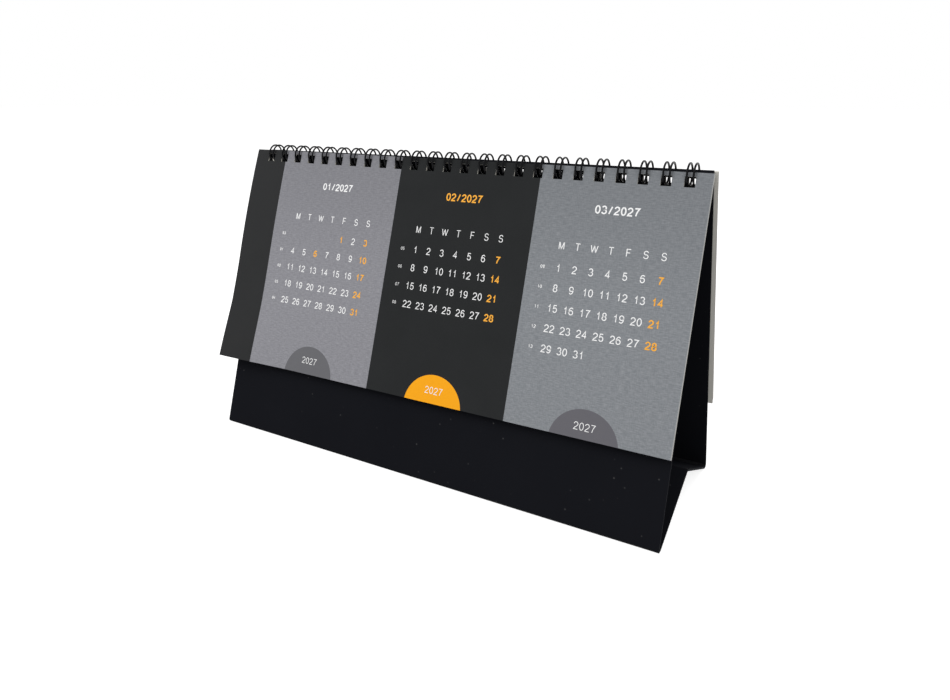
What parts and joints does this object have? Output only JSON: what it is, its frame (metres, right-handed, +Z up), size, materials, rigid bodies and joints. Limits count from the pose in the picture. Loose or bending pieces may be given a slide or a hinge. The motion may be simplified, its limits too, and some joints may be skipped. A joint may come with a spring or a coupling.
{
  "type": "desk calendar",
  "caption": "Free-standing desk calendar: a folded black card easel with a twin-loop wire along its top edge and packs of month leaves hanging in front and behind.",
  "frame": {"origin": "on the table, under the middle of the easel's footprint", "axes": "+X along the calendar's width, to the reader's right; -Y towards the reader; +Z up"},
  "size_m": [0.2215, 0.0782, 0.1363],
  "materials": {
    "stand_card": "matt black covered card, rubbed lighter along the folds",
    "binding_wire": "black coated steel wire, satin",
    "printed_paper": "matt printed paper in greys and black with an orange accent",
    "leaf_paper": "uncoated cream paper"
  },
  "bodies": {
    "stand": {"easel_stand": "stand_card", "wire_binding": "binding_wire"},
    "front_leaves": {"front_leaves": "printed_paper"},
    "back_leaves": {"back_leaves": "leaf_paper"}
  },
  "joints": [
    {"name": "front_leaves_lift", "type": "hinge", "parent": "stand", "child": "front_leaves", "pos_m": [0, 0, 0.1316], "axis": [-1, 0, 0], "range_deg": [0, 45]},
    {"name": "back_leaves_lift", "type": "hinge", "parent": "stand", "child": "back_leaves", "pos_m": [0, 0, 0.1316], "axis": [1, 0, 0], "range_deg": [0, 45]}
  ]
}
